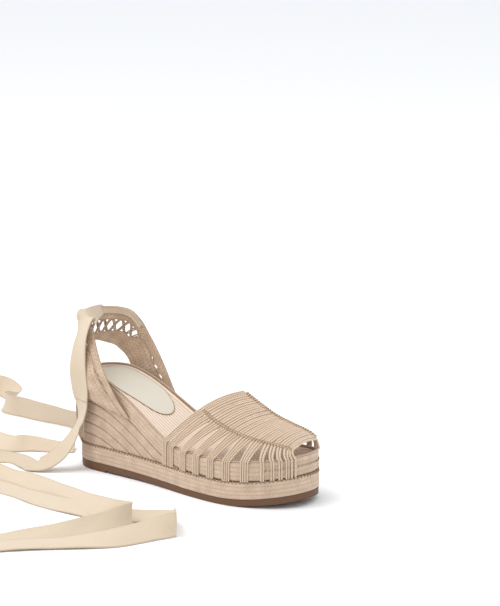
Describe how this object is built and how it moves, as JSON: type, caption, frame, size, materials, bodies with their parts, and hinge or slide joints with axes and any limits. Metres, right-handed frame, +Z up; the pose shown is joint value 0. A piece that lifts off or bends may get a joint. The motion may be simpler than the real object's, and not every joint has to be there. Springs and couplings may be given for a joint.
{
  "type": "wedge sandal",
  "caption": "Open-toed wedge sandal with a braided rope-wrapped sole, a corded vamp, a lattice heel band that folds, and long flat cotton ties.",
  "frame": {"origin": "on the ground, at the middle of the heel lift's ground face", "axes": "+X towards the toe, +Y towards the inner (medial) side of the foot, +Z up"},
  "size_m": [0.5156, 0.4319, 0.139],
  "materials": {
    "outsole_rubber": "satin brown rubber with a fine grain",
    "core_foam": "matt closed-cell foam",
    "jute": "braided natural jute",
    "jute_rope": "twisted natural jute rope",
    "insole_board": "pressed fibre board",
    "footbed_weave": "ribbed cotton and jute weave",
    "sock_lining": "smooth cream lining",
    "cord": "twisted waxed cotton cord",
    "cord_dark": "knotted cotton cord",
    "band_weave": "narrow woven tape and lattice",
    "tie_cotton": "plain-weave cotton tape"
  },
  "bodies": {
    "sole": {"outsole": "outsole_rubber", "heel_lift": "outsole_rubber", "platform_core": "core_foam", "lower_jute_band": "jute", "wedge_core": "core_foam", "wedge_rope_1": "jute_rope", "wedge_rope_2": "jute_rope", "wedge_rope_3": "jute_rope", "wedge_rope_4": "jute_rope", "wedge_rope_5": "jute_rope", "upper_jute_band": "jute", "rim_binding": "jute_rope", "insole_board": "insole_board", "foam_layer": "core_foam", "footbed_cover": "footbed_weave", "sock_pad": "sock_lining", "vamp_lateral_cords": "cord", "vamp_medial_cords": "cord", "vamp_centre_cords": "cord", "lateral_seam_cord": "cord_dark", "medial_seam_cord": "cord_dark", "throat_cord": "cord", "toe_edge_cord": "cord", "heel_band_lateral_anchor": "band_weave", "heel_band_medial_anchor": "band_weave", "tie_lateral_drop": "tie_cotton", "tie_medial_drop": "tie_cotton"},
    "heel_band": {"heel_band_top_tape": "band_weave", "heel_band_bottom_tape": "band_weave", "heel_band_lattice": "band_weave", "tie_centre": "tie_cotton", "tie_loops": "tie_cotton"},
    "tie_lateral_end": {"tie_lateral_run": "tie_cotton"},
    "tie_medial_end": {"tie_medial_run": "tie_cotton"}
  },
  "joints": [
    {"name": "heel_fold", "type": "hinge", "parent": "sole", "child": "heel_band", "pos_m": [0.008, 0, 0.098], "axis": [0, 1, 0], "range_deg": [-5, 35], "stiffness_Nm_per_rad": 0.2},
    {"name": "tie_lateral_swing", "type": "hinge", "parent": "sole", "child": "tie_lateral_end", "pos_m": [-0.019, -0.034, 0], "axis": [0, 0, 1], "range_deg": [-10, 10]},
    {"name": "tie_medial_swing", "type": "hinge", "parent": "sole", "child": "tie_medial_end", "pos_m": [-0.035, -0.003, 0], "axis": [0, 0, 1], "range_deg": [-10, 10]}
  ]
}
